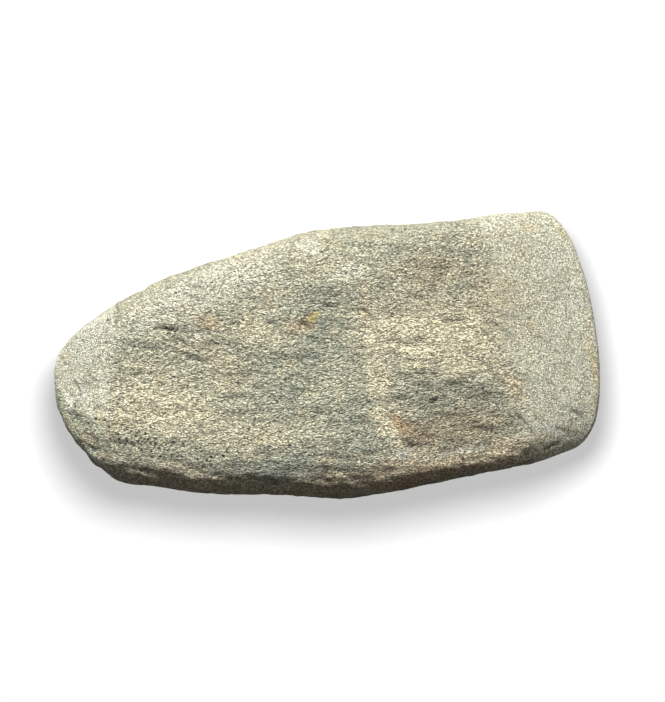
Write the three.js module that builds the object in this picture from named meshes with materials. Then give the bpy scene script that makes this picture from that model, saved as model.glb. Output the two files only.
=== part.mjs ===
// A polished stone axe head lying on its lower face, in millimetres, +Z up.
// +X runs from the rounded butt to the cutting edge, and +Y across the width.
// The origin is on the surface it lies on, under the middle of its outline.
//
// The stone is a two-rail sweep. Each ring around it is a superellipse between the two side rails.
// The rings shrink to a point at the butt and flatten to a bowed line at the cutting edge.
// Worn hollows, flake scars and ground facets are then cut into that body.

import * as THREE from "three";
import { mergeVertices } from "three/addons/utils/BufferGeometryUtils.js";

// Driving dimensions
const LENGTH = 120; // butt to the middle of the cutting edge
const WIDTH = 59.2; // across the widest part
const CROWN = 17.6; // upper face above the plane of the rails
const KEEL = 17.0; // lower face below that plane
const REST_CUT = 0.6; // ground off the lower face where it lies

const BUTT_ROUND = 15; // length over which the butt rounds off in plan
const BUTT_DROP = 9; // length over which it rounds off in side view
const EDGE_BOW = 10; // how far the cutting edge bows out past its own corners
const EDGE_BOW_POWER = 2.4; // superellipse power of that bow: 2 is an ellipse
const EDGE_SKEW = 0.08; // its furthest point lies this share of half the width towards -Y
const EDGE_BOW_FROM = 0.7; // share of the length where the rings start to bow
const EDGE_DULL = 1.5; // length over which the worn cutting edge rounds off
const HOLLOWS_FROM = 9; // height above the rails from which the hollows have their full depth

const RINGS = 58; // rings from butt to edge
const AROUND = 64; // points in each ring
const WELD = 1e-3; // points closer than this are one point

// Side rails, as shares of the rail's length and of half the width.
// centre is how far the middle of the ring lies off the axis, before the butt rounds off.
const RAILS = [
  { at: 0.0, centre: 0.1, half: 0.53 },
  { at: 0.09, centre: -0.015, half: 0.61 },
  { at: 0.18, centre: -0.01, half: 0.715 },
  { at: 0.27, centre: 0.002, half: 0.807 },
  { at: 0.41, centre: 0.005, half: 0.898 },
  { at: 0.55, centre: 0.0, half: 0.99 },
  { at: 0.68, centre: -0.003, half: 0.972 },
  { at: 0.82, centre: -0.011, half: 0.936 },
  { at: 0.91, centre: 0.004, half: 0.933 },
  { at: 1.0, centre: 0.028, half: 0.9 },
];

// Side view, as shares of the length, CROWN and KEEL. fullness is the ring's superellipse power.
const PROFILE = [
  { at: 0.0, crown: 0.72, keel: 0.7, fullness: 3.5 },
  { at: 0.1, crown: 0.82, keel: 0.8, fullness: 3.9 },
  { at: 0.25, crown: 0.92, keel: 0.91, fullness: 4.3 },
  { at: 0.42, crown: 1.0, keel: 1.0, fullness: 4.6 },
  { at: 0.58, crown: 1.0, keel: 0.99, fullness: 4.6 },
  { at: 0.73, crown: 0.89, keel: 0.86, fullness: 5.0 },
  { at: 0.85, crown: 0.64, keel: 0.6, fullness: 6.5 },
  { at: 0.985, crown: 0.13, keel: 0.12, fullness: 8.0 },
  { at: 1.0, crown: 0.11, keel: 0.1, fullness: 8.0 },
];

// Hollows in the upper face: long and wide are from the middle to where it fades, turn is in degrees.
// crisp is 1 for a dent that fades out gently, and more for a flat floor with steeper sides.
const HOLLOWS = [
  { x: -1, y: 11, long: 21, wide: 6.5, turn: -63, depth: 0.9, crisp: 1.1 }, // swale across the middle
  { x: 26, y: -14.5, long: 14, wide: 8, turn: -5, depth: 0.8, crisp: 2.0 }, // flake scar
  { x: 29, y: 17, long: 12, wide: 6, turn: -16, depth: 0.7, crisp: 1.2 }, // worn flake scar
  { x: -27, y: 2.5, long: 14, wide: 5.5, turn: -16, depth: 0.6, crisp: 1.2 }, // dent before the butt
  { x: -3, y: 9.5, long: 3.2, wide: 1.8, turn: -20, depth: 0.5, crisp: 1.0 }, // small pit
];

// Facets: everything beyond the plane is pressed back to it. The plane stands at reach from the
// middle of the stone along its outward normal, and soften rounds its border.
const FACETS = [
  { normal: [-0.53, 0.12, 0.84], reach: 36.7, soften: 0.8 }, // broken upper face of the butt
  { normal: [-0.74, -0.58, 0.35], reach: 50.9, soften: 1.5 }, // lower side of the butt
  { normal: [0.6, -0.75, 0.25], reach: 51.6, soften: 0.6 }, // broken corner of the cutting edge
];

const { clamp, degToRad, lerp, smoothstep } = THREE.MathUtils;

// Smooth curve through one column of a table: cubic Hermite with the slope of its two neighbours.
function through(table, column, at) {
  const last = table.length - 1;
  const found = table.findIndex((row) => row.at > at);
  const i = found < 0 ? last - 1 : Math.max(found - 1, 0);
  const slope = (k) => {
    const before = table[Math.max(k - 1, 0)];
    const after = table[Math.min(k + 1, last)];
    return (after[column] - before[column]) / (after.at - before.at);
  };
  const [p, q] = [table[i], table[i + 1]];
  const span = q.at - p.at;
  const t = (at - p.at) / span;
  const bend = span * t * (1 - t) * ((1 - t) * slope(i) - t * slope(i + 1));
  return lerp(p[column], q[column], t * t * (3 - 2 * t)) + bend;
}

// 0 at a rounded end, 1 once past its round: a quarter of an ellipse.
function roundEnd(distance, round) {
  const q = clamp(1 - distance / round, 0, 1);
  return Math.sqrt(1 - q * q);
}

const signedPower = (value, power) => Math.sign(value) * Math.abs(value) ** power;

// The ring at a share of the length along the middle line.
function ringAt(at) {
  const bow = EDGE_BOW * smoothstep(at, EDGE_BOW_FROM, 1);
  const middle = LENGTH * (at - 0.5);
  const fromButt = LENGTH * at;
  const rail = (middle - bow + LENGTH / 2) / (LENGTH - EDGE_BOW);
  const ends = roundEnd(fromButt, BUTT_DROP) * roundEnd(LENGTH - fromButt, EDGE_DULL);
  return {
    x: middle - bow,
    bow,
    centre: (WIDTH / 2) * through(RAILS, "centre", rail),
    half: (WIDTH / 2) * through(RAILS, "half", rail) * roundEnd(fromButt, BUTT_ROUND),
    crown: CROWN * through(PROFILE, "crown", at) * ends,
    keel: KEEL * through(PROFILE, "keel", at) * ends,
    fullness: through(PROFILE, "fullness", at),
  };
}

// A point of the plain body. turn runs from +Y over the upper face to -Y and back underneath.
function bodyPoint(ring, turn) {
  const across = signedPower(Math.cos(turn), 2 / ring.fullness);
  const lift = signedPower(Math.sin(turn), 2 / ring.fullness);
  const skewed = Math.abs(across + EDGE_SKEW * (1 - across * across));
  const bowed = (1 - skewed ** EDGE_BOW_POWER) ** (1 / EDGE_BOW_POWER);
  return new THREE.Vector3(
    ring.x + ring.bow * bowed,
    ring.centre + ring.half * across,
    lift * (lift > 0 ? ring.crown : ring.keel),
  );
}

// Depth of all the hollows at a place on the upper face.
function hollowDepth(x, y) {
  return HOLLOWS.reduce((sum, h) => {
    const [c, s] = [Math.cos(degToRad(h.turn)), Math.sin(degToRad(h.turn))];
    const along = ((x - h.x) * c + (y - h.y) * s) / h.long;
    const across = ((y - h.y) * c - (x - h.x) * s) / h.wide;
    return sum + h.depth * Math.exp(-((along * along + across * across) ** h.crisp));
  }, 0);
}

// Presses what lies beyond a facet's plane back to it, with a rounded border.
function grind(point, { normal, reach, soften }) {
  const outward = new THREE.Vector3(...normal).normalize();
  const beyond = point.dot(outward) - reach;
  point.addScaledVector(outward, -(beyond + Math.hypot(beyond, soften)) / 2);
}

function stonePoint(ring, turn) {
  const point = bodyPoint(ring, turn);
  point.z -= hollowDepth(point.x, point.y) * clamp(point.z / HOLLOWS_FROM, 0, 1);
  FACETS.forEach((facet) => grind(point, facet));
  point.z = Math.max(point.z, REST_CUT - KEEL);
  return point;
}

// Parameters from 0 to 1 that cut a curve into steps of about equal length.
function evenSteps(curve, count) {
  const fine = Array.from({ length: 40 * count + 1 }, (_, i) => i / (40 * count));
  const run = [0];
  for (let i = 1; i < fine.length; i++) {
    run.push(run[i - 1] + curve(fine[i]).distanceTo(curve(fine[i - 1])));
  }
  const steps = Array.from({ length: count }, (_, k) => (run.at(-1) * k) / count);
  return [...steps.map((length) => fine[run.findIndex((so) => so >= length)]), 1];
}

// The rings are as far apart as the upper middle line needs, and the points of a ring are spaced
// evenly over the upper half of the widest ring, with the same turns mirrored underneath.
function stoneGeometry() {
  const rings = evenSteps((at) => bodyPoint(ringAt(at), Math.PI / 2), RINGS).map(ringAt);
  const widest = ringAt(0.5);
  const upper = evenSteps((t) => bodyPoint(widest, Math.PI * t), AROUND / 2).map((t) => Math.PI * t);
  const turns = [...upper, ...upper.slice(1, -1).map((turn) => -turn).reverse()];
  const positions = rings.flatMap((ring) =>
    turns.flatMap((turn) => stonePoint(ring, turn).toArray()),
  );
  const indices = [];
  for (let i = 0; i < RINGS; i++) {
    for (let j = 0; j < AROUND; j++) {
      const next = (j + 1) % AROUND;
      const [a, b] = [i * AROUND + j, i * AROUND + next];
      const [c, d] = [a + AROUND, b + AROUND];
      indices.push(a, b, c, b, d, c);
    }
  }
  const geometry = new THREE.BufferGeometry();
  geometry.setAttribute("position", new THREE.Float32BufferAttribute(positions, 3));
  geometry.setIndex(indices);
  return centred(welded(geometry));
}

// Joins the points that coincide at the butt and along the cutting edge, and drops flat triangles.
function welded(geometry) {
  const merged = mergeVertices(geometry, WELD);
  const corners = merged.index.array;
  const kept = [];
  for (let i = 0; i < corners.length; i += 3) {
    const [a, b, c] = corners.slice(i, i + 3);
    if (a !== b && b !== c && c !== a) kept.push(a, b, c);
  }
  merged.setIndex(kept);
  return merged;
}

// Moves the stone so that its box stands on z = 0 with the origin under its middle.
function centred(geometry) {
  geometry.computeBoundingBox();
  const { min, max } = geometry.boundingBox;
  geometry.translate(-(min.x + max.x) / 2, -(min.y + max.y) / 2, -min.z);
  geometry.computeVertexNormals();
  return geometry;
}

const stone = new THREE.MeshStandardMaterial({ color: 0xaeab95, roughness: 0.85, metalness: 0 });

const axeHead = new THREE.Mesh(stoneGeometry(), stone);
axeHead.name = "axe_head";

const axe = new THREE.Group();
axe.add(axeHead);

export default axe;
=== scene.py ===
"""A polished stone axe head lying on a pale floor: its worn surface, its stone and its light.

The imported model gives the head's size and place. The visible head is a finer surface over the
same form, with flake scars, chips, pecked pits and grain. All shape work is in millimetres, in
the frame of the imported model, and becomes metres when the mesh is made.
"""

import math

import bpy
import numpy as np
from bpy.props import FloatProperty, FloatVectorProperty, IntProperty, PointerProperty
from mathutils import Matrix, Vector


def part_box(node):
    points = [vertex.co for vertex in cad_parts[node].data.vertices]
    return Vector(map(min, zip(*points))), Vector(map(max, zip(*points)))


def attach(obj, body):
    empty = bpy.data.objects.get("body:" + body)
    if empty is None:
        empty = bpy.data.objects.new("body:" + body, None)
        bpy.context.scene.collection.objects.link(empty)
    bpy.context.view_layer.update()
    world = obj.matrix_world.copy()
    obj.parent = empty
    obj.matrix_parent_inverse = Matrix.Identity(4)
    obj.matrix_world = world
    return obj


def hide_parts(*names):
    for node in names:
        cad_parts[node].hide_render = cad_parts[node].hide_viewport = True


bl_info = {
    "name": "Polished Stone Axe Head",
    "version": (1, 0, 0),
    "blender": (4, 5, 0),
    "location": "View3D > Sidebar > Stone Axe",
    "description": "Makes a worn, ground stone axe head and the plain stage that it lies on",
    "category": "Add Mesh",
}

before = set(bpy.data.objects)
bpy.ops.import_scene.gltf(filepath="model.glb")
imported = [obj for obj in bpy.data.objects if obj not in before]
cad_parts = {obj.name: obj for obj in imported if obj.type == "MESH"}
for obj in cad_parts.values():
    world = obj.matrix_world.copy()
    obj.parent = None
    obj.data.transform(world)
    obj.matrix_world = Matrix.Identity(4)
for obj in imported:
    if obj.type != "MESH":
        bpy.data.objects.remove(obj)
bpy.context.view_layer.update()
HEAD_LOW, HEAD_HIGH = (np.array(corner) * 1000 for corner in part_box("axe_head"))
MM = 0.001

# --------------------------------------------------------------------------------------
# The form of the head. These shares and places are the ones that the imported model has.
# --------------------------------------------------------------------------------------

LENGTH, WIDTH, THICKNESS = HEAD_HIGH - HEAD_LOW
RAILS_UP = 0.482  # height of the side rails, as a share of the thickness
REST_CUT = 0.6  # ground off the lower face where it lies
CROWN = THICKNESS * (1 - RAILS_UP)
KEEL = THICKNESS * RAILS_UP + REST_CUT
RAILS_WIDER = 1.005  # the rails' shares are of a width that no ring quite reaches
HALF_WIDTH = WIDTH / 2 * RAILS_WIDER

BUTT_ROUND = 15.0  # length over which the butt rounds off in plan
BUTT_DROP = 9.0  # length over which it rounds off in side view
EDGE_BOW = 10.0  # how far the cutting edge bows out past its own corners
EDGE_BOW_POWER = 2.4
EDGE_SKEW = 0.08  # share of the half width by which the furthest point lies towards -Y
EDGE_BOW_FROM = 0.7  # share of the length where the rings start to bow
EDGE_DULL = 1.5  # length over which the worn cutting edge rounds off
HOLLOWS_FROM = 9.0  # height above the rails from which hollows have their full depth

# Side rails: share of the rail's length, middle of the ring and its half width.
MIDDLE, HALF = 1, 2
RAILS = np.array(
    [
        (0.00, 0.100, 0.530),
        (0.09, -0.015, 0.610),
        (0.18, -0.010, 0.715),
        (0.27, 0.002, 0.807),
        (0.41, 0.005, 0.898),
        (0.55, 0.000, 0.990),
        (0.68, -0.003, 0.972),
        (0.82, -0.011, 0.936),
        (0.91, 0.004, 0.933),
        (1.00, 0.028, 0.900),
    ]
)

# Side view: share of the length, crown, keel and the ring's superellipse power.
UPPER, LOWER, FULLNESS = 1, 2, 3
PROFILE = np.array(
    [
        (0.000, 0.72, 0.70, 3.5),
        (0.100, 0.82, 0.80, 3.9),
        (0.250, 0.92, 0.91, 4.3),
        (0.420, 1.00, 1.00, 4.6),
        (0.580, 1.00, 0.99, 4.6),
        (0.730, 0.89, 0.86, 5.0),
        (0.850, 0.64, 0.60, 6.5),
        (0.985, 0.13, 0.12, 8.0),
        (1.000, 0.11, 0.10, 8.0),
    ]
)

# Hollows of the upper face: x, y, half length, half width, turn in degrees, depth, crispness.
HOLLOWS = [
    (-1, 11, 21, 6.5, -63, 0.9, 1.1),  # swale across the middle
    (26, -14.5, 14, 8, -5, 0.8, 2.0),  # flake scar
    (29, 17, 12, 6, -16, 0.7, 1.2),  # worn flake scar
    (-27, 2.5, 14, 5.5, -16, 0.6, 1.2),  # dent before the butt
    (-3, 9.5, 3.2, 1.8, -20, 0.5, 1.0),  # small pit
]

# Facets: outward normal, distance from the middle of the stone, softness of the border.
FACETS = [
    ((-0.53, 0.12, 0.84), 36.7, 0.8),  # broken upper face of the butt
    ((-0.74, -0.58, 0.35), 50.9, 1.5),  # lower side of the butt
    ((0.6, -0.75, 0.25), 51.6, 0.6),  # broken corner of the cutting edge
]


def ease(x, start, end):
    """0 before start, 1 after end, and 3t^2 - 2t^3 of the way t between them."""
    t = np.clip((x - start) / (end - start), 0, 1)
    return t * t * (3 - 2 * t)


def through(rows, column, at):
    """Smooth curve through a table's column against its first one.

    It is a cubic Hermite, whose slope at a row is that of the line between the rows beside it.
    """
    x, y = rows[:, 0], rows[:, column]
    slope = np.empty_like(y)
    slope[1:-1] = (y[2:] - y[:-2]) / (x[2:] - x[:-2])
    slope[0], slope[-1] = (y[1] - y[0]) / (x[1] - x[0]), (y[-1] - y[-2]) / (x[-1] - x[-2])
    i = np.clip(np.searchsorted(x, at, side="right") - 1, 0, len(x) - 2)
    span = x[i + 1] - x[i]
    t = (at - x[i]) / span
    bend = span * t * (1 - t) * ((1 - t) * slope[i] - t * slope[i + 1])
    return y[i] + (y[i + 1] - y[i]) * t * t * (3 - 2 * t) + bend


def round_end(distance, length):
    """A quarter of an ellipse: sqrt(1 - q^2) with q = 1 - distance / length, and 1 beyond it."""
    return np.sqrt(1 - np.clip(1 - distance / length, 0, 1) ** 2)


def signed_power(value, power):
    """The absolute value raised to a power, with the sign of the value."""
    return np.sign(value) * np.abs(value) ** power


def plain_body(at, turn):
    """Two-rail sweep: superellipse rings between the side rails, bowed towards the edge.

    at runs from 0 at the butt to 1 at the cutting edge, and turn from 0 at +Y over the upper
    face to pi at -Y and back underneath. y = centre + half * c, z = crown or keel * s, where
    c and s are the cosine and sine of turn to the power 2 / fullness, and x is the ring's place
    plus its bow times (1 - |c + skew (1 - c^2)|^p)^(1/p).
    """
    at, turn = np.broadcast_arrays(at, turn)
    bow = EDGE_BOW * ease(at, EDGE_BOW_FROM, 1)
    along = LENGTH * at
    rail = (along - bow) / (LENGTH - EDGE_BOW)
    fullness = through(PROFILE, FULLNESS, at)
    across = signed_power(np.cos(turn), 2 / fullness)
    lift = signed_power(np.sin(turn), 2 / fullness)
    skewed = np.minimum(np.abs(across + EDGE_SKEW * (1 - across**2)), 1)
    bowed = (1 - skewed**EDGE_BOW_POWER) ** (1 / EDGE_BOW_POWER)
    half = through(RAILS, HALF, rail) * round_end(along, BUTT_ROUND)
    ends = round_end(along, BUTT_DROP) * round_end(LENGTH - along, EDGE_DULL)
    crown, keel = CROWN * through(PROFILE, UPPER, at), KEEL * through(PROFILE, LOWER, at)
    x = along - LENGTH / 2 - bow + bow * bowed
    y = HALF_WIDTH * (through(RAILS, MIDDLE, rail) + half * across)
    z = lift * np.where(lift > 0, crown, keel) * ends
    return np.stack([x, y, z], axis=-1)


FINER = 40  # points tried on a curve for each step that is wanted


def even_steps(curve, count):
    """Parameters from 0 to 1 that cut a curve into steps of equal length."""
    fine = np.linspace(0, 1, FINER * count + 1)
    run = np.concatenate([[0], np.linalg.norm(np.diff(curve(fine), axis=0), axis=1).cumsum()])
    return np.interp(np.linspace(0, run[-1], count + 1), run, fine)


def turned(points, x, y, turn):
    """Distances along and across a line through (x, y), which is turned by turn degrees from +X."""
    c, s = math.cos(math.radians(turn)), math.sin(math.radians(turn))
    dx, dy = points[..., 0] - x, points[..., 1] - y
    return dx * c + dy * s, dy * c - dx * s


def spot(points, x, y, long, wide, turn, crisp=1.0):
    """1 at a place on the upper face, fading outwards as exp(-(r^2)^crisp) over an ellipse."""
    along, across = turned(points, x, y, turn)
    return np.exp(-(((along / long) ** 2 + (across / wide) ** 2) ** crisp))


def press(points, normal, reach, soften):
    """Presses what lies beyond a plane back to it, with a rounded border.

    With d the distance beyond the plane, the cut is (d + sqrt(d^2 + soften^2)) / 2.
    """
    outward = np.array(normal) / np.linalg.norm(normal)
    beyond = points @ outward - reach
    return points - ((beyond + np.hypot(beyond, soften)) / 2)[..., None] * outward


def worn_form(at, turn):
    """The plain body with its hollows and facets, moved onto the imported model's box."""
    points = plain_body(at, turn)
    hollow = sum(depth * spot(points, *place, crisp) for *place, depth, crisp in HOLLOWS)
    points[..., 2] -= hollow * np.clip(points[..., 2] / HOLLOWS_FROM, 0, 1)
    for normal, reach, soften in FACETS:
        points = press(points, normal, reach, soften)
    low, high = points.min((0, 1)), points.max((0, 1))
    points[..., :2] -= ((low + high) / 2)[:2]
    points[..., 2] += KEEL - REST_CUT
    return points


# --------------------------------------------------------------------------------------
# Random fields
# --------------------------------------------------------------------------------------


def hashed(cells, seed):
    """Pseudo-random numbers from 0 to 1 for whole-number cells.

    The indices are multiplied by large odd numbers and added, with the seed. The sum is
    multiplied by another, its high bits are laid over its low bits by exclusive or, and both are
    done once more. The low 24 bits give the number.
    """
    mixed = (cells.astype(np.int64) * (73856093, 19349663, 83492791)).sum(-1) + 97 * seed + 13
    mixed = mixed.astype(np.uint64) * np.uint64(0x9E3779B97F4A7C15)
    mixed = (mixed ^ (mixed >> np.uint64(29))) * np.uint64(0xBF58476D1CE4E5B9)
    mixed ^= mixed >> np.uint64(32)
    return (mixed & np.uint64(0xFFFFFF)).astype(float) / 0xFFFFFF


# Corners of a cell
CORNERS = np.array([(i, j, k) for i in (0, 1) for j in (0, 1) for k in (0, 1)])


def noise(points, size, seed):
    """Smooth field from -1 to 1: random corners of cubic cells, blended by 6t^5 - 15t^4 + 10t^3."""
    place = points / size
    cell = np.floor(place)
    t = place - cell
    t = t**3 * (t * (6 * t - 15) + 10)
    value = np.zeros(points.shape[:-1])
    for corner in CORNERS:
        share = np.prod(np.where(corner, t, 1 - t), axis=-1)
        value += share * hashed(cell + corner, seed)
    return 2 * value - 1


def rough(points, size, seed, octaves=3, fade=0.5):
    """Weighted mean of noises, each half the size of the last and fade times as strong."""
    layers = (fade**i * noise(points, size / 2**i, seed + i) for i in range(octaves))
    return sum(layers) / sum(fade**i for i in range(octaves))


def folded(points, size, seed, octaves=3, fade=0.5):
    """Like rough, but of the noises' absolute values, so its valleys are sharp creases.

    With m their weighted mean, the value is 2m - 0.6, which is about 0 on average.
    """
    layers = (fade**i * np.abs(noise(points, size / 2**i, seed + i)) for i in range(octaves))
    return 2 * sum(layers) / sum(fade**i for i in range(octaves)) - 0.6


PIT_LEAST, PIT_SPREAD = 0.45, 0.5  # smallest radius of a pit and how much it varies, in cells


def pits(points, size, seed, share):
    """Rounded pits from 0 to 1, round a random point in each of a share of the cubic cells.

    With d the distance from that point and r the pit's radius, a pit is (1 - (d / r)^2)^2.
    """
    cell = np.floor(points / size)
    deepest = np.zeros(points.shape[:-1])
    for i in (-1, 0, 1):
        for j in (-1, 0, 1):
            for k in (-1, 0, 1):
                near = cell + (i, j, k)
                middle = np.stack([near[..., a] + hashed(near, seed + a) for a in range(3)], -1)
                radius = size * (PIT_LEAST + PIT_SPREAD * hashed(near, seed + 3))
                apart = np.linalg.norm(points - middle * size, axis=-1) / radius
                there = hashed(near, seed + 4) < share
                deepest = np.maximum(deepest, there * np.clip(1 - apart**2, 0, 1) ** 2)
    return deepest


# --------------------------------------------------------------------------------------
# Relief of the surface
# --------------------------------------------------------------------------------------

BEVEL_FROM = 39.5  # the polished bevel starts about here, in X
BEVEL_LEAN = 0.13  # and this much nearer to the butt for each mm of +Y
BEVEL_SOFT = 3.0  # half of the width over which the polish comes in

BUTT_FROM = -47.2  # the ridge of the butt's broken facet, in X
BUTT_LEAN = 0.21  # and this much further from the butt for each mm of +Y
BUTT_SOFT = 0.6  # half of the width of that ridge
BUTT_SLANT = 0.9  # towards -Y the facet fades out, as y + BUTT_SLANT * x
BUTT_ENDS = (-52, -48)  # falls from the second of these to the first
RIDGE_RISE = 0.22  # the stone swells by this much up to the ridge
RIDGE_SWELL = (41, 47)  # distance of that swell from the middle, towards the butt
FACET_DROP = 0.1  # and the facet lies this much lower

UPPER_FROM, UPPER_TO = -6, 2  # heights over the rails where the upper face's relief comes in

GRAIN_TURN = -11.0  # the grain of the rock runs at this many degrees from the length
GRAIN_STRETCH = 2.6  # and its ripples are this much longer than wide

# A worn step of the upper face on the edge's side of the swale.
STEP_X, STEP_Y, STEP_TURN = 9.0, -4.0, 84.0  # its middle and direction
STEP_HALF = 15.0  # half of its length
STEP_RISE = 0.26  # its height
STEP_WIDTH = 1.9  # how far it takes to rise
STEP_FADE = 6.0  # and how far it takes to level out again

GROUND_SMOOTH = 0.8  # share of the ripples that grinding has taken off
GROUND_WHOLE = 0.85  # and share of the pecked pits
BUTT_GROUND = 0.8  # the butt's facet is as smooth as this share of grinding makes it

SCAR_WANDER = 1.1  # how far the borders of flake scars stray
CREASE_STEEP = 0.35  # width of a crease's steep side

# Flake scars of the upper face: x, y, half length, half width, turn, depth, lean, crispness.
# The floor of a scar leans down across its length, towards -Y, or to +Y where lean is negative.
SCARS = [
    (26.5, -15.8, 13.2, 7.4, -4, 0.50, 0.040, 4.0),  # the large scar beside the edge
    (22, 12, 13, 6.5, -12, 0.22, 0.040, 2.5),  # the shallow scar above it
    (-24, 7.5, 8, 3.0, -20, 0.16, 0.03, 3.0),  # the hollow before the butt
    (-55.4, -0.4, 2.3, 1.7, -58, 0.40, -0.22, 2.0),  # chips of the butt
    (-52.2, 1.2, 2.3, 1.6, -70, 0.36, -0.22, 2.0),
    (-52.3, -10.0, 2.4, 1.8, -50, 0.25, -0.12, 2.0),
    (33.2, 11.2, 3.0, 1.4, -24, 0.25, -0.12, 3.0),  # small steps
    (15.8, -20.4, 2.6, 1.1, -12, 0.30, -0.18, 4.0),
]

# Short creases of the upper face and the lower flank, each with a painted shadow line: x, y, half
# length, turn, depth.
CREASES = [
    (-33.0, 12.1, 2.6, -16, 0.30),
    (-30.0, 9.6, 2.2, -28, 0.26),
    (-27.0, 5.4, 2.6, -26, 0.32),
    (-23.5, 7.6, 2.0, -14, 0.20),
    (-19.0, 11.5, 2.2, -18, 0.16),
    (-36.5, 9.0, 2.0, -22, 0.18),
    (2.0, 13.0, 2.0, -24, 0.18),
    (6.0, -9.0, 2.4, -12, 0.14),
    (38.0, 3.0, 2.2, -30, 0.16),
    (-7.5, 8.4, 4.2, -35, 0.20),
    (-2.9, 8.8, 1.5, -50, 0.40),
    (-0.6, 5.6, 2.2, -10, 0.25),
    (10.2, 9.6, 2.4, -32, 0.30),
    (18.6, -5.0, 3.0, 6, 0.30),
    (22.6, -10.2, 2.0, 14, 0.20),
    (14.8, -8.9, 2.2, -10, 0.22),
    (31.6, -2.6, 2.4, -24, 0.26),
    (35.4, -7.0, 3.6, -58, 0.24),
    (40.6, -18.0, 3.6, -66, 0.24),
    (28.0, 5.6, 2.4, -14, 0.22),
    (20.0, 3.0, 2.0, -20, 0.20),
    (26.0, 17.4, 2.4, -8, 0.20),
    (-14.0, -3.2, 2.0, -20, 0.18),
    (-20.0, -4.0, 2.4, -10, 0.18),
    (14.8, -18.6, 1.6, -40, 0.26),
    (-53.6, 2.2, 1.8, -62, 0.34),
    (-55.2, -3.2, 1.8, -40, 0.30),
    (-51.6, -10.6, 1.4, -30, 0.36),
    (-50.0, 4.6, 1.6, -70, 0.22),
    (-45.6, 13.5, 3.0, 76, 0.16),
    (49.2, -21.4, 2.2, -28, 0.14),
    (46.0, -23.6, 2.2, 8, 0.20),
    (53.0, -18.2, 1.8, -40, 0.22),
    (24.0, -14.0, 3.0, -6, 0.16),
    (31.0, -17.5, 3.0, -10, 0.16),
]


def polish_share(points):
    """0 on the worn faces, 1 on the ground bevel, easing over 6 mm along a wavering line."""
    line = BEVEL_FROM - BEVEL_LEAN * points[..., 1] + 2.0 * noise(points, 9.0, seed=41)
    return ease(points[..., 0], line - BEVEL_SOFT, line + BEVEL_SOFT)


def butt_share(points):
    """1 on the broken facet of the butt, 0 elsewhere, with a narrow wavering border."""
    ridge = BUTT_FROM + BUTT_LEAN * points[..., 1] + 0.8 * noise(points, 5.0, seed=43)
    facet = ease(-points[..., 0], -ridge - BUTT_SOFT, -ridge + BUTT_SOFT)
    return facet * ease(points[..., 1] + BUTT_SLANT * points[..., 0], *BUTT_ENDS)


def upper_share(points):
    """0 on the lower face, 1 on the upper one, easing over the rails."""
    return ease(points[..., 2], KEEL + UPPER_FROM, KEEL + UPPER_TO)


def along_grain(points):
    """The points turned to the rock's grain and squeezed along it, so that ripples run with it."""
    c, s = math.cos(math.radians(GRAIN_TURN)), math.sin(math.radians(GRAIN_TURN))
    along = (points[..., 0] * c + points[..., 1] * s) / GRAIN_STRETCH
    return np.stack([along, points[..., 1] * c - points[..., 0] * s, points[..., 2]], axis=-1)


def crease(points, x, y, half, turn, below=0.9):
    """A short wavering step from 0 to 1: it drops steeply on its +Y side and rises gently below.

    With v the distance across the line, it is exp(-(v / w)^2), where w is CREASE_STEEP on the
    +Y side and the given width below it, and it fades along the line as exp(-(along / half)^4).
    """
    along, across = turned(points, x, y, turn)
    across = across + 0.8 * noise(points, 2.6, seed=57) + 0.3 * noise(points, 1.1, seed=58)
    width = np.where(across > 0, CREASE_STEEP, below)
    return np.exp(-((across / width) ** 2)) * np.exp(-((along / half) ** 4))


def ripples(grain):
    """Height of the ripples along the grain of the rock: soft ones and ones with sharp valleys."""
    soft = rough(grain, 2.6, seed=11, octaves=3, fade=0.65)
    sharp = folded(grain, 3.4, seed=19, octaves=3, fade=0.7)
    return 0.6 * soft + 0.8 * sharp


def worn_step(points, upper):
    """Height of the worn step: it rises over its width, then levels out as exp(-v / fade)."""
    along, across = turned(points, STEP_X, STEP_Y, STEP_TURN)
    across = across + 1.2 * noise(points, 6.0, seed=47) + 0.5 * noise(points, 2.0, seed=48)
    there = np.exp(-((along / STEP_HALF) ** 4)) * upper
    beyond = np.exp(-np.maximum(-across, 0) / STEP_FADE)
    return STEP_RISE * there * ease(-across, -STEP_WIDTH, 0) * beyond


def scar_depth(points, strayed, x, y, long, wide, turn, depth, lean, crisp):
    """Depth of a flake scar, whose floor leans and whose border is taken at the strayed points."""
    across = turned(points, x, y, turn)[1]
    return spot(strayed, x, y, long, wide, turn, crisp) * np.maximum(depth - lean * across, 0)


def carve(points, shape):
    """Height of the relief along the surface normal, negative where stone is missing."""
    upper, polish, butt = upper_share(points), polish_share(points), butt_share(points)
    grain = along_grain(points)
    height = shape.lumps / MM * rough(points, 15.0, seed=3)
    swell = RIDGE_RISE * (1 - butt) * ease(-points[..., 0], *RIDGE_SWELL)
    height += upper * (swell - FACET_DROP * butt)
    smoothed = GROUND_SMOOTH * np.maximum(polish, BUTT_GROUND * butt)
    height += shape.ripples / MM * (1 - smoothed) * ripples(grain)
    height += worn_step(points, upper)
    pecked = (1 - GROUND_WHOLE * polish) * ease(rough(points, 11.0, seed=31), -0.25, 0.35)
    height -= shape.pecking / MM * pecked * pits(grain, 1.9, seed=61, share=0.45)
    strayed = points + SCAR_WANDER * rough(points, 4.0, seed=83)[..., None]
    for scar in SCARS:
        height -= upper * scar_depth(points, strayed, *scar)
    for *place, depth in CREASES:
        height -= upper * depth * crease(points, *place)
    return height
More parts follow.
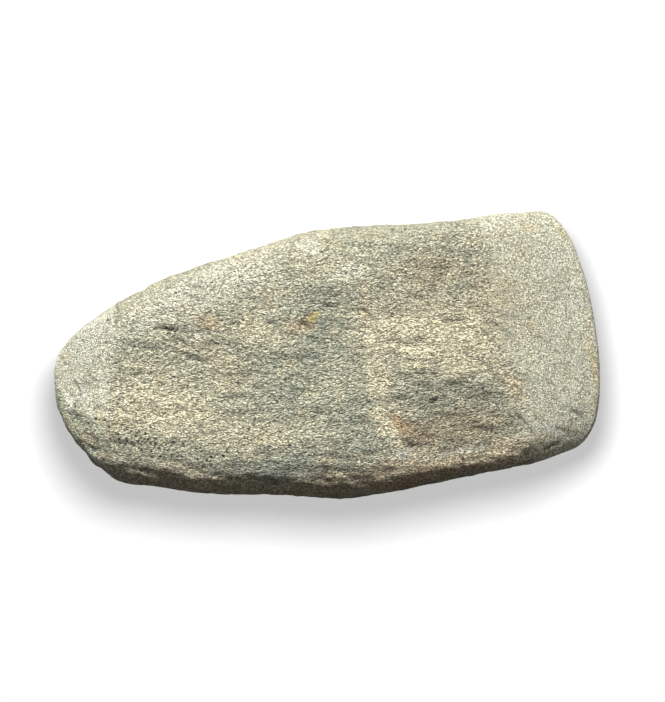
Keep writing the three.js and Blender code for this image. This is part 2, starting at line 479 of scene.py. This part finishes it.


# --------------------------------------------------------------------------------------
# Weathering and painted shade: shares of colours over the surface
# --------------------------------------------------------------------------------------

# Patches of the upper face: x, y, half length, half width, turn, strength.

# Weathered skin, and one painted highlight
BUFF_AND_LIT = [
    (24, 3.5, 17, 9.5, -16, 1.0),
    (10.6, 0, 2.8, 13, 3, 1.0),
    (12.0, -15, 2.6, 7, 14, 1.0),
    (26.5, -3.5, 9, 3.0, -14, 0.9),
    (-27, 8.5, 5, 2.2, -18, 0.8),
    (37.6, -8.5, 9, 2.0, -62, 0.9),
    (-36, -5.0, 14, 5.5, -16, 1.0),
    (-20, -11.5, 16, 4.0, -8, 0.65),
    (-30, 15, 12, 3, 10, 0.3),
    (-14, 9, 8, 3, -20, 0.5),
    (4, 20.5, 10, 3, -6, 0.5),
    # Painted highlight along the lit lower lip of the large scar.
    (24, -22.2, 18, 1.3, 2, 0.5),
    (41, 8, 8, 16, 8, 0.4),
]

# Soil-stained hollows
BROWN = [
    (26, -16.5, 12, 3.5, -6, 0.8),
    (14.6, -14.5, 4.5, 1.8, -65, 0.9),
    (17, -23.5, 14, 3, 0, 1.0),
    (0, -25.5, 30, 3.2, 0, 0.8),
    (-34, -20.5, 16, 3.5, -14, 0.6),
    (34, -24.0, 12, 2.8, 6, 0.8),
    (-24, 12.5, 4, 2, -10, 0.6),
    (-19, 1.5, 5, 4, -10, 0.4),
    (37, 9, 6, 6, -20, 0.5),
    (25, 17, 8, 4, -14, 0.6),
    (-47, -7, 3, 2, 40, 0.5),
    (-4.0, 9.0, 3.0, 1.8, -15, 1.0),
    (44, -17.5, 1.2, 2.4, 20, 0.6),
    (51, -19.5, 2.4, 1.4, 30, 0.35),
    (38.5, -9, 4, 2, -60, 0.4),
]

# Iron stains, and painted shade along the lower flank's edge
RUST_AND_SHADE = [
    (13.8, -13.8, 2.6, 1.0, -55, 0.55),
    (17.2, -17.2, 3.4, 2.2, -30, 0.38),
    (-24.0, 12.8, 2.0, 0.9, -10, 0.15),
    (-52.5, -8.5, 2.0, 1.8, 0, 0.30),
    (38.8, -10, 3.0, 1.2, -60, 0.15),
    # These two along the lower flank's edge are painted shade in the rust colour.
    (14.5, -28.3, 5.0, 1.6, -4, 0.60),
    (18, -26.3, 18, 1.8, 2, 0.40),
    (9.4, 13.0, 1.2, 2.4, 10, 0.30),
    (33, 12.4, 2.4, 0.8, -20, 0.20),
]

# Yellow mineral spots
OCHRE = [
    (-1.2, 9.8, 1.8, 1.1, 10, 1.0),
    (-16.5, -13.4, 0.9, 0.8, 0, 0.6),
    (58.6, -7.9, 1.0, 6.0, 0, 0.45),
    (55.6, 20.5, 1.0, 4.0, 30, 0.45),
    (-50.0, -5.0, 1.6, 1.0, 30, 0.3),
]

# Bruised spots, and painted highlights on the butt's chips, the large scar's lower lip and the
# edge's lower corner
PALE_AND_LIT = [
    (45.4, -20.6, 2.8, 1.3, -25, 1.0),
    (-50.5, 12.5, 6, 4, 30, 0.9),
    (-47.4, 0, 1.2, 5.5, -6, 0.7),
    # Pale stone and a painted highlight on the floors of the butt's chips, which face the light.
    (-55.7, -0.2, 2.1, 1.3, -60, 1.0),
    (-52.3, 1.2, 2.2, 1.3, -70, 1.0),
    (-51.5, -13.0, 2.4, 0.8, -50, 0.8),
    (-0.3, 26.2, 3.0, 2.0, 0, 0.6),
    (7.6, 18.9, 3.0, 1.6, 0, 0.5),
    # Pale stone and a painted highlight along the lit lower lip of the large scar.
    (13.3, -21.0, 2.2, 0.9, 0, 0.8),
    (24, -22, 9, 0.8, 2, 0.5),
    (11.6, -17.4, 1.2, 0.7, -40, 0.8),
    (-25.6, 10.9, 2.2, 0.8, -10, 0.6),
    (-24, 19.5, 22, 5, 17, 0.45),
    (-26.5, 9.6, 3.6, 1.4, -18, 0.2),
    # Painted highlight on the lower corner of the cutting edge.
    (52.5, -18, 3.5, 2.5, 10, 0.3),
    (-45.2, 10, 1.2, 6, -12, 0.5),
]

# Places with small pits, which are darkened by painted shade
PITTED = [
    (-40.5, -10.5, 7.5, 3.6, -26, 0.9),
    (-49, -7, 4, 3.0, -40, 0.4),
    (-30, -14.5, 8, 2.2, -4, 0.45),
    (-52.5, -4, 3, 4, 0, 0.3),
]

# Darker bands of the stone, and painted shade: beside the butt's chips, on the upper walls of the
# large scar and of the hollow by the top edge, and along the lower flank
DARK_AND_SHADE = [
    (-7, 25, 2.5, 5, -20, 0.6),
    (0.5, 7, 5, 14, -14, 0.9),
    (-40.5, 13, 3.5, 5.5, -10, 0.9),
    # Painted shade on the upper wall of the hollow by the top edge.
    (22, 21.5, 9, 2.4, -10, 0.4),
    (-7, -3, 10, 6, -12, 0.7),
    (4, -13, 4, 9, 8, 0.7),
    # Painted shade on the upper wall of the large scar.
    (25, -10.8, 11, 2.6, -4, 0.5),
    # Painted shade beside the butt's chips.
    (-53.4, 3.8, 2.6, 1.0, -40, 1.0),
    (-54.0, -3.6, 2.6, 1.2, -50, 1.0),
    (-52.4, -11.0, 1.6, 1.2, -40, 0.9),
    (-57.5, 3.0, 2.0, 3.5, 0, 0.8),
    (50.5, -24.6, 3.0, 1.0, 14, 0.7),
    # Painted shade along the lower flank.
    (-12, -20.2, 16, 3.0, -4, 1.0),
    (-53.5, -2, 4, 7, -10, 0.8),
    (-53.5, 6.0, 4.0, 1.8, 30, 0.9),
    (-57.5, 6, 1.8, 4, 10, 0.7),
]

PATCH_CRISP = 1.8  # how crisp the borders of the patches are
PATCH_WANDER = 1.6  # and how far they stray
PITTED_LEAST = 0.07  # share of pitting outside its own places
CREASE_SHADE_PER_MM = 2.2  # darkness of the painted shadow line in a crease, for each mm of the crease's depth
CREASE_SHADE_WIDTH = 0.3  # width of the lower side of that line


def painted(points, patches, broken):
    """The strongest of several patches at each point, with their borders broken up by noise."""
    wander = points + broken
    layers = [strength * spot(wander, *place, PATCH_CRISP) for *place, strength in patches]
    return np.max(layers, axis=0) * upper_share(points)


def weathering_and_shade(points, height):
    """The mesh's colour attributes, whose channels are shares from 0 up.

    tints has buff, brown, dark (partly painted shade) and hollow_shade, the painted shade of the
    hollows. stains has rust, ochre, pale and polish; some rust patches are painted shade and some
    pale ones painted highlights. marks has pitting and crease_shade, the painted shadow lines in
    the creases.
    """
    seeds = (101, 102, 103)
    broken = np.stack([PATCH_WANDER * rough(points, 5.0, seed) for seed in seeds], axis=-1)
    upper, polish = upper_share(points), polish_share(points)
    cloud = rough(points, 14.0, seed=111, octaves=4, fade=0.6)
    weathered = (0.35 + 0.4 * (1 - upper)) * ease(cloud, -0.05, 0.45)
    buff = np.maximum(painted(points, BUFF_AND_LIT, broken), weathered)
    brown = painted(points, BROWN, broken)
    dark = np.maximum(painted(points, DARK_AND_SHADE, broken), 0.5 * ease(-cloud, 0.0, 0.45))
    # Painted shade: the colour darkens where the relief cuts deeper into the stone.
    hollow_shade = ease(-height, 0.12, 0.75)
    rust, ochre, pale = (painted(points, patches, broken) for patches in (RUST_AND_SHADE, OCHRE, PALE_AND_LIT))
    smooth = np.maximum(polish, BUTT_GROUND * butt_share(points))
    pitted = np.maximum(painted(points, PITTED, broken), PITTED_LEAST) * (1 - polish)
    # Painted shadow lines along the creases.
    lines = [
        CREASE_SHADE_PER_MM * depth * crease(points, *place, CREASE_SHADE_WIDTH) for *place, depth in CREASES
    ]
    crease_shade = np.max(lines, axis=0) * upper
    unused = np.zeros_like(crease_shade)
    return {
        "tints": np.stack([buff, brown, dark, hollow_shade], axis=-1),
        # Some rust shares are painted shade and some pale shares painted highlights.
        "stains": np.stack([rust, ochre, pale, smooth], axis=-1),
        "marks": np.stack([pitted, crease_shade, unused, unused], axis=-1),
    }


# --------------------------------------------------------------------------------------
# Mesh
# --------------------------------------------------------------------------------------


def welded_faces(rings, around):
    """Point numbers and faces of the closed grid.

    The first ring is one point at the butt. On the last ring the lower half shares the upper
    half's points, so the two faces meet in the line of the cutting edge.
    """
    number = np.arange((rings + 1) * around).reshape(rings + 1, around)
    number[0] = 0
    number[-1, around // 2 + 1 :] = number[-1, around // 2 - 1 : 0 : -1]
    kept, number = np.unique(number, return_inverse=True)
    number = number.reshape(rings + 1, around)
    beside = np.roll(number, -1, axis=1)
    quads = np.stack([number[:-1], beside[:-1], beside[1:], number[1:]], axis=-1)
    return kept, quads[1:].reshape(-1, 4), quads[0][:, 1:]


def surface_normals(points, quads, fans):
    """Unit normals at points: the sum of the normals of the faces round each, by their areas."""
    normals = np.zeros_like(points)
    for faces in (quads, fans):
        a, b, c, d = (points[faces[:, i]] for i in (0, 1, 2, -1))
        across = np.cross(c - a, d - b) if faces.shape[1] == 4 else np.cross(b - a, c - a)
        for corner in faces.T:
            for axis in range(3):
                normals[:, axis] += np.bincount(corner, across[:, axis], len(points))
    return normals / np.linalg.norm(normals, axis=1, keepdims=True)


def head_mesh(shape):
    """The carved head: the worn form on a grid, moved along its normals by the relief."""
    middle_line = even_steps(lambda at: plain_body(at, math.pi / 2), shape.rings)
    half_ring = even_steps(lambda t: plain_body(0.5, math.pi * t), shape.around // 2) * math.pi
    turns = np.concatenate([half_ring, -half_ring[-2:0:-1]])
    form = worn_form(middle_line[:, None], turns[None, :])
    kept, quads, fans = welded_faces(shape.rings, len(turns))
    points = form.reshape(-1, 3)[kept]
    height = carve(points, shape)
    points = points + height[:, None] * surface_normals(points, quads, fans)
    points[:, 2] = np.maximum(points[:, 2], 0)
    mesh = bpy.data.meshes.new("axe_head_stone")
    mesh.from_pydata(points * MM, [], quads.tolist() + fans.tolist())
    mesh.shade_smooth()
    for name, shares in weathering_and_shade(points, height).items():
        layer = mesh.color_attributes.new(name, "FLOAT_COLOR", "POINT")
        layer.data.foreach_set("color", shares.astype(np.float32).ravel())
    mesh.validate()
    mesh.update()
    return mesh


# --------------------------------------------------------------------------------------
# Shader nodes
# --------------------------------------------------------------------------------------


class Wire:
    """An output socket. Sums on it in Python add Math nodes to its tree."""

    def __init__(self, graph, socket):
        self.graph = graph
        self.socket = socket

    def math(self, operation, *values):
        inputs = dict(enumerate(values))
        return self.graph.add("ShaderNodeMath", {"operation": operation}, inputs)["Value"]

    def __add__(self, other):
        return self.math("ADD", self, other)

    def __sub__(self, other):
        return self.math("SUBTRACT", self, other)

    def __rsub__(self, other):
        return self.math("SUBTRACT", other, self)

    def __mul__(self, other):
        return self.math("MULTIPLY", self, other)

    def __rpow__(self, other):
        return self.math("POWER", other, self)

    def clipped(self, low, high):
        """The value moved from the range low to high onto 0 to 1, and held there."""
        inputs = {"Value": self, "From Min": low, "From Max": high}
        return self.graph.add("ShaderNodeMapRange", {"clamp": True}, inputs)["Result"]

    __radd__ = __add__


class Graph:
    """A material's node tree, with methods that add nodes."""

    def __init__(self, name):
        self.material = bpy.data.materials.new(name)
        self.material.use_nodes = True
        self.tree = self.material.node_tree
        self.tree.nodes.clear()

    def feed(self, socket, value):
        """Links a wire to an input, or gives the input a fixed value."""
        if isinstance(value, Wire):
            self.tree.links.new(value.socket, socket)
        else:
            socket.default_value = value

    def add(self, kind, settings=None, inputs=None):
        """Adds a node, sets its settings, then feeds its inputs. Returns its outputs."""
        node = self.tree.nodes.new(kind)
        for name, value in (settings or {}).items():
            setattr(node, name, value)
        for name, value in (inputs or {}).items():
            self.feed(node.inputs[name], value)
        return {out.name: Wire(self, out) for out in reversed(node.outputs) if out.enabled}

    def blend(self, share, first, second):
        """The first colour, turning to the second one as share goes from 0 to 1."""
        node = self.tree.nodes.new("ShaderNodeMix")
        node.data_type = "RGBA"
        sockets = [socket for socket in node.inputs if socket.enabled]
        for socket, value in zip(sockets, (share, first, second)):
            self.feed(socket, value)
        return Wire(self, next(socket for socket in node.outputs if socket.enabled))

    def shade(self, colour, factor):
        """A colour times a number, by a vector scale."""
        inputs = {0: colour, "Scale": factor}
        return self.add("ShaderNodeVectorMath", {"operation": "SCALE"}, inputs)["Vector"]

    def shares(self, layer):
        """The red, green, blue and alpha of a colour attribute of the mesh."""
        found = self.add("ShaderNodeVertexColor", {"layer_name": layer})
        split = self.add("ShaderNodeSeparateColor", {}, {"Color": found["Color"]})
        return split["Red"], split["Green"], split["Blue"], found["Alpha"]

    def cloud(self, place, size, detail=1.0):
        """Soft noise around 0, whose largest lumps are of about this size."""
        inputs = {"Vector": place, "Scale": 1 / size, "Detail": detail, "Roughness": 0.6}
        return self.add("ShaderNodeTexNoise", {}, inputs)["Fac"] - 0.5

    def cells(self, place, size):
        """Distance to the middle of the nearest cell, in cells, and a random number for it."""
        found = self.add("ShaderNodeTexVoronoi", {}, {"Vector": place, "Scale": 1 / size})
        own = self.add("ShaderNodeSeparateColor", {}, {"Color": found["Color"]})
        return found["Distance"], own["Red"]


def rgba(colour):
    """An opaque colour with the alpha that colour sockets need."""
    return (*colour, 1.0)


MOTTLE_SIZE = 0.0035  # size of the mottling that breaks up the borders of the tints
ROUND_CLOUD = 0.95  # size of the polished bevel's grain as a share of the grain size: its clouds
ROUND_CELL = 0.9  # and its single grains
ROUND_CONTRAST = 0.1  # how much stronger the single grains are there
COARSE_SIZE = 3  # size of the coarser relief, in grains
COARSE_RELIEF = 1.2  # its height as a share of the grain's relief
COARSE_POLISH = 0.6  # and the share of it that polish takes off
PIT_EDGE = 0.45  # where a small pit starts, in cells from the cell's middle
PIT_WALL = 0.2  # and how wide its wall is
HOLLOW_SHADE_DARK = 0.45  # painted shade: halvings of brightness in the deepest hollows
PIT_SHADE_DARK = 2.4  # painted shade in the small pits
CREASE_SHADE_DARK = 1.9  # and painted shadow in the lines of the creases


def stone_material(look):
    """Ground and weathered sandy stone: tints and stains, mineral grains and their relief.

    The colour is multiplied by 2 to the power of the grains' contrast less the painted shade of
    hollows, pits and creases. Polish turns the grain that runs with the rock into a finer, round
    one.
    """
    graph = Graph("weathered_stone")
    place = graph.add("ShaderNodeTexCoord")["Object"]
    mapping = {"Vector": place, "Rotation": (0, 0, math.radians(-GRAIN_TURN))}
    rotated = graph.add("ShaderNodeMapping", {}, mapping)["Vector"]
    mapping = {"Vector": rotated, "Scale": (1 / look.grain_stretch, 1, 1)}
    stretched = graph.add("ShaderNodeMapping", {}, mapping)["Vector"]

    buff, brown, dark, hollow_shade = graph.shares("tints")
    rust, ochre, pale, polish = graph.shares("stains")
    pitted, crease_shade, _, _ = graph.shares("marks")

    mottle = graph.cloud(place, MOTTLE_SIZE, 3.0)
    # The dark share includes painted shade, the pale share painted highlights and the rust share
    # painted shade along the lower flank.
    colour = rgba(look.green_grey)
    colour = graph.blend((dark + mottle * 0.8).clipped(0, 1), colour, rgba(look.dark_green))
    colour = graph.blend(polish, colour, rgba(look.ground))
    for share, mottling, least, tint in (
        (buff, 0.9, 0.0, look.buff),
        (brown, 0.8, 0.0, look.brown),
        (pale, 0.6, 0.0, look.pale),
        (rust, 0.8, 0.05, look.rust),
        (ochre, 0.8, 0.05, look.ochre),
    ):
        colour = graph.blend((share + mottle * mottling).clipped(least, 1), colour, rgba(tint))

    fine = graph.cloud(stretched, look.grain_size)
    own = graph.cells(stretched, look.grain_size)[1] - 0.5
    round_fine = graph.cloud(place, look.grain_size * ROUND_CLOUD)
    round_own = graph.cells(place, look.grain_size * ROUND_CELL)[1] - 0.5
    streak = fine * (1 - polish) + round_fine * polish
    speckle = own * (1 - polish) + round_own * polish
    contrast = streak * look.streak_contrast
    contrast = contrast + speckle * (1 + polish * ROUND_CONTRAST) * look.speckle_contrast
    apart, chance = graph.cells(place, look.pit_size)
    pit = (PIT_EDGE - apart).clipped(0, PIT_WALL) * (pitted - chance).clipped(0, 0.1)
    # Painted shade: darker in the hollows, the small pits and the lines of the creases.
    painted_shade = hollow_shade * HOLLOW_SHADE_DARK + pit * PIT_SHADE_DARK + crease_shade * CREASE_SHADE_DARK
    colour = graph.shade(colour, 2.0 ** (contrast - painted_shade))

    coarse = graph.cloud(stretched, look.grain_size * COARSE_SIZE)
    coarse = coarse * (1 - polish * COARSE_POLISH) * look.grain_relief * COARSE_RELIEF
    bumps = (fine + polish * (round_fine - fine)) * look.grain_relief
    bumps = bumps + coarse - pit * look.pit_depth
    relief = {"Strength": 1.0, "Distance": 1.0, "Height": bumps}
    inputs = {
        "Base Color": colour,
        "Roughness": 0.55 - polish * 0.1 + mottle * 0.15,
        "Specular IOR Level": 0.5,
        "Normal": graph.add("ShaderNodeBump", {}, relief)["Normal"],
    }
    shader = graph.add("ShaderNodeBsdfPrincipled", {}, inputs)["BSDF"]
    graph.add("ShaderNodeOutputMaterial", {}, {"Surface": shader})
    return graph.material


def plain_material(name, colour, roughness):
    """One colour all over, with hardly any shine."""
    graph = Graph(name)
    inputs = {"Base Color": rgba(colour), "Roughness": roughness, "Specular IOR Level": 0.1}
    shader = graph.add("ShaderNodeBsdfPrincipled", {}, inputs)["BSDF"]
    graph.add("ShaderNodeOutputMaterial", {}, {"Surface": shader})
    return graph.material


# --------------------------------------------------------------------------------------
# Properties
# --------------------------------------------------------------------------------------


def number_property(name, description, default):
    return FloatProperty(name=name, description=description, default=default)


def length_property(name, description, default):
    return FloatProperty(
        name=name, description=description, default=default, unit="LENGTH", precision=5
    )


def angle_property(name, description, degrees):
    return FloatProperty(
        name=name, description=description, default=math.radians(degrees), unit="ROTATION"
    )


def colour_property(name, description, default):
    return FloatVectorProperty(
        name=name, description=description, default=default, subtype="COLOR", min=0, max=1
    )


class AXE_PG_shape(bpy.types.PropertyGroup):
    rings: IntProperty(name="Rings", description="Rings of points from butt to edge", default=290)
    around: IntProperty(name="Around", description="Points in a ring, an even number", default=340)
    lumps: length_property("Lumps", "Height of the broad unevenness of the faces", 0.00042)
    ripples: length_property("Ripples", "Height of the ripples along the rock's grain", 0.00043)
    pecking: length_property("Pecking", "Depth of the small pits of the worn faces", 0.00018)


class AXE_PG_look(bpy.types.PropertyGroup):
    green_grey: colour_property("Green grey", "Fresh stone", (0.43, 0.42, 0.302))
    # The dark green is also used for painted shade.
    dark_green: colour_property("Dark green", "Darker bands of the stone", (0.318, 0.336, 0.25))
    buff: colour_property("Buff", "Weathered skin", (0.65, 0.59, 0.405))
    brown: colour_property("Brown", "Soil-stained hollows", (0.48, 0.395, 0.255))
    # The pale colour is also used for painted highlights.
    pale: colour_property("Pale", "Bruised spots", (0.69, 0.68, 0.55))
    ground: colour_property("Ground", "Polished bevel of the cutting edge", (0.68, 0.664, 0.51))
    # The rust colour is also used for painted shade along the lower flank.
    rust: colour_property("Rust", "Iron stains", (0.46, 0.29, 0.15))
    ochre: colour_property("Ochre", "Yellow mineral spots", (0.66, 0.52, 0.2))
    grain_size: length_property("Grain size", "Width of a mineral grain", 0.00024)
    grain_stretch: number_property("Grain stretch", "Length of a grain over its width", 1.35)
    grain_relief: length_property("Grain relief", "How far grains stand out", 0.00085)
    pit_size: length_property("Pit size", "Spacing of the small pits", 0.0009)
    pit_depth: length_property("Pit depth", "Depth of the small pits", 0.00020)
    streak_contrast: number_property("Streak contrast", "Doublings of brightness in streaks", 1.5)
    speckle_contrast: number_property(
        "Speckle contrast", "Doublings of brightness between grains", 2.2
    )


class AXE_PG_stage(bpy.types.PropertyGroup):
    lens: FloatProperty(
        name="Lens", description="Focal length", default=85, subtype="DISTANCE_CAMERA"
    )
    view_height: length_property("View height", "Height of the picture at the side rails", 0.1553)
    view_x: length_property("View X", "Middle of the picture along the head", 0.00174)
    view_y: length_property("View Y", "Middle of the picture across the head", 0.00291)
    view_turn: angle_property("View turn", "Turn of the picture", -7.8)
    floor_colour: colour_property("Floor", "Colour of the floor", (0.9, 0.9, 0.9))
    key_strength: number_property("Key", "Strength of the key light", 6.35)
    key_height: angle_property("Key height", "Angle of the key light above the floor", 31)
    key_side: angle_property("Key side", "Direction of the key light, from +X", 96)
    side_strength: number_property("Side", "Strength of the light on the butt", 0.5)
    edge_strength: number_property("Edge", "Strength of the light on the edge", 0.8)
    floor_strength: number_property("Floor light", "Strength of the floor's plain light", 1.74)
    lamp_power: number_property("Floor lamp", "Power of the lamp that casts the shadow", 1.3)
    lamp_radius: length_property("Lamp radius", "Radius of that lamp, for a soft shadow", 0.040)
    lamp_height: length_property("Lamp height", "Height of that lamp above the floor", 0.17)
    lamp_off: length_property("Lamp offset", "How far up the picture that lamp stands", 0.040)
    fill: number_property("Fill", "Strength of the light from all round", 0.05)


# --------------------------------------------------------------------------------------
# Stage
# --------------------------------------------------------------------------------------

FLOOR_HALF = 2.0  # half the side of the floor, in metres
SENSOR_HEIGHT = 36  # height of the camera's sensor, in mm

# Far lights: how many degrees wide each looks, its height above the floor and its direction
# from +X towards +Y.
KEY_SPREAD = 18
BUTT_SPREAD, BUTT_HEIGHT, BUTT_SIDE = 40, math.radians(20), math.radians(186)
EDGE_SPREAD, EDGE_HEIGHT, EDGE_SIDE = 40, math.radians(12), math.radians(4)
FLOOR_SPREAD, OVERHEAD = 5, math.pi / 2


def place_object(name, data):
    """A new object with this data, in the scene."""
    made = bpy.data.objects.new(name, data)
    bpy.context.collection.objects.link(made)
    return made


def make_floor(stage):
    """A flat square of four points at the height that the head lies on."""
    mesh = bpy.data.meshes.new("floor")
    square = np.array([(-1, -1, 0), (1, -1, 0), (1, 1, 0), (-1, 1, 0)]) * FLOOR_HALF
    mesh.from_pydata(square, [], [(0, 1, 2, 3)])
    mesh.materials.append(plain_material("pale_floor", stage.floor_colour, 0.9))
    floor = place_object("floor", mesh)
    floor.visible_diffuse = False
    floor.visible_glossy = False
    return floor


def add_light(name, kind, strength, lit):
    """A light that falls on one object only, though others can shade it."""
    light = place_object(name, bpy.data.lights.new(name, kind))
    light.data.energy = strength
    group = bpy.data.collections.new(name + "_lit")
    group.objects.link(lit)
    light.light_linking.receiver_collection = group
    return light


def add_sun(name, strength, spread, height, side, lit):
    """A far light that looks spread degrees wide. Its height and side are in radians."""
    light = add_light(name, "SUN", strength, lit)
    light.data.angle = math.radians(spread)
    light.rotation_euler = (0, math.pi / 2 - height, side)
    return light


def add_lamp(stage, lit):
    """The near lamp, which stands up the picture from the middle and isn't seen itself."""
    lamp = add_light("floor_lamp", "POINT", stage.lamp_power, lit)
    lamp.data.shadow_soft_size = stage.lamp_radius
    up = math.pi / 2 + stage.view_turn
    x, y = stage.lamp_off * math.cos(up), stage.lamp_off * math.sin(up)
    lamp.location = (x, y, stage.lamp_height)
    lamp.visible_camera = False


def make_lights(stage, head, floor):
    """A raking key and two weak side lights on the head, and a plain light and a lamp on the floor.

    Only the lamp gives the floor a shadow, which it throws down the picture.
    """
    add_sun("key", stage.key_strength, KEY_SPREAD, stage.key_height, stage.key_side, head)
    add_sun("butt_side", stage.side_strength, BUTT_SPREAD, BUTT_HEIGHT, BUTT_SIDE, head)
    add_sun("edge_side", stage.edge_strength, EDGE_SPREAD, EDGE_HEIGHT, EDGE_SIDE, head)
    base = add_sun("floor_base", stage.floor_strength, FLOOR_SPREAD, OVERHEAD, 0, floor)
    base.data.use_shadow = False
    add_lamp(stage, floor)


def make_fill(stage):
    """A weak white light from all round."""
    world = bpy.data.worlds.new("studio")
    world.use_nodes = True
    background = world.node_tree.nodes["Background"]
    background.inputs["Color"].default_value = (1, 1, 1, 1)
    background.inputs["Strength"].default_value = stage.fill
    bpy.context.scene.world = world


def make_camera(stage):
    """A camera straight above, far enough for its lens to take in the picture's height."""
    data = bpy.data.cameras.new("camera")
    data.lens = stage.lens
    data.sensor_fit = "VERTICAL"
    data.sensor_height = SENSOR_HEIGHT
    camera = place_object("camera", data)
    rails = (HEAD_LOW[2] + THICKNESS * RAILS_UP) * MM
    away = stage.view_height * data.lens / data.sensor_height
    camera.location = (stage.view_x, stage.view_y, rails + away)
    camera.rotation_euler = (0, 0, stage.view_turn)
    bpy.context.scene.camera = camera


# --------------------------------------------------------------------------------------
# Operators and panel
# --------------------------------------------------------------------------------------


class AXE_OT_head(bpy.types.Operator):
    """Make the stone axe head"""

    bl_idname = "stone_axe.head"
    bl_label = "Axe head"

    def execute(self, context):
        settings = context.scene
        head = place_object("axe_head_stone", head_mesh(settings.axe_shape))
        head.data.materials.append(stone_material(settings.axe_look))
        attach(head, "root")
        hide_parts("axe_head")
        return {"FINISHED"}


class AXE_OT_stage(bpy.types.Operator):
    """Make the floor, the lights and the camera"""

    bl_idname = "stone_axe.stage"
    bl_label = "Stage"

    def execute(self, context):
        stage = context.scene.axe_stage
        make_lights(stage, bpy.data.objects["axe_head_stone"], make_floor(stage))
        make_fill(stage)
        make_camera(stage)
        context.scene.view_settings.view_transform = "Standard"
        return {"FINISHED"}


class AXE_PT_panel(bpy.types.Panel):
    """Lists the settings, each group above the button that uses it"""

    bl_label = "Stone Axe"
    bl_space_type = "VIEW_3D"
    bl_region_type = "UI"
    bl_category = "Stone Axe"

    def draw(self, context):
        for group, operator in (
            (context.scene.axe_shape, AXE_OT_head),
            (context.scene.axe_look, None),
            (context.scene.axe_stage, AXE_OT_stage),
        ):
            box = self.layout.box()
            for name in group.__annotations__:
                box.prop(group, name)
            if operator:
                box.operator(operator.bl_idname)


CLASSES = (AXE_PG_shape, AXE_PG_look, AXE_PG_stage, AXE_OT_head, AXE_OT_stage, AXE_PT_panel)
GROUPS = {"axe_shape": AXE_PG_shape, "axe_look": AXE_PG_look, "axe_stage": AXE_PG_stage}


def register():
    for cls in CLASSES:
        bpy.utils.register_class(cls)
    for name, group in GROUPS.items():
        setattr(bpy.types.Scene, name, PointerProperty(type=group))


def unregister():
    for name in GROUPS:
        delattr(bpy.types.Scene, name)
    for cls in reversed(CLASSES):
        bpy.utils.unregister_class(cls)


def main():
    register()
    bpy.ops.stone_axe.head()
    bpy.ops.stone_axe.stage()


if __name__ == "__main__":
    main()
